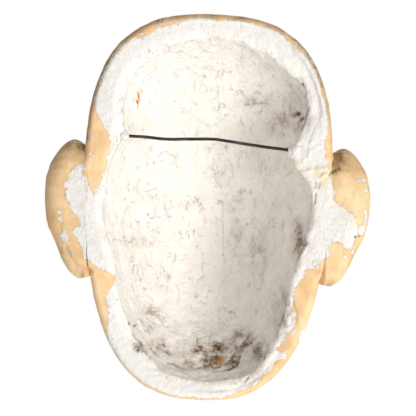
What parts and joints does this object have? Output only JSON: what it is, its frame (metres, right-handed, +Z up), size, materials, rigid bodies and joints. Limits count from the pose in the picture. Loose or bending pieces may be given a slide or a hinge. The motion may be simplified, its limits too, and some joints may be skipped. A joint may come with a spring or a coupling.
{
  "type": "hollow plaster wall mask",
  "caption": "Hollow life-size cast plaster face mask, open at the back with a flat struck rim, joined ears and an iron hanging wire across the hollow.",
  "frame": {"origin": "middle of the hanging wire, where a wall hook carries the mask", "axes": "+Z up the face from chin to crown, +Y out of the flat back rim towards the wall, +X to the mask's own left"},
  "size_m": [0.2036, 0.1118, 0.24],
  "materials": {
    "painted_plaster": "matte peach oil or size paint on plaster, worn off in patches",
    "bare_plaster": "bare white plaster, struck smooth, slightly pitted",
    "backing_plaster": "rough hand-laid cream plaster with grey and brown grime",
    "joint_filler": "smeared yellowish filler",
    "jute_scrim": "open jute cloth soaked in plaster",
    "iron_wire": "dark annealed iron wire, rusted where it enters the plaster"
  },
  "bodies": {
    "root": {"face_shell": "painted_plaster", "scrim_layer": "jute_scrim", "backing_coat": "backing_plaster", "rim_band": "bare_plaster", "ear_left": "painted_plaster", "ear_right": "painted_plaster", "ear_filler_left": "joint_filler", "ear_filler_right": "joint_filler", "ear_pin_left": "iron_wire", "ear_pin_right": "iron_wire", "hanging_wire": "iron_wire", "wire_anchor_left": "backing_plaster", "wire_anchor_right": "backing_plaster"}
  },
  "joints": []
}
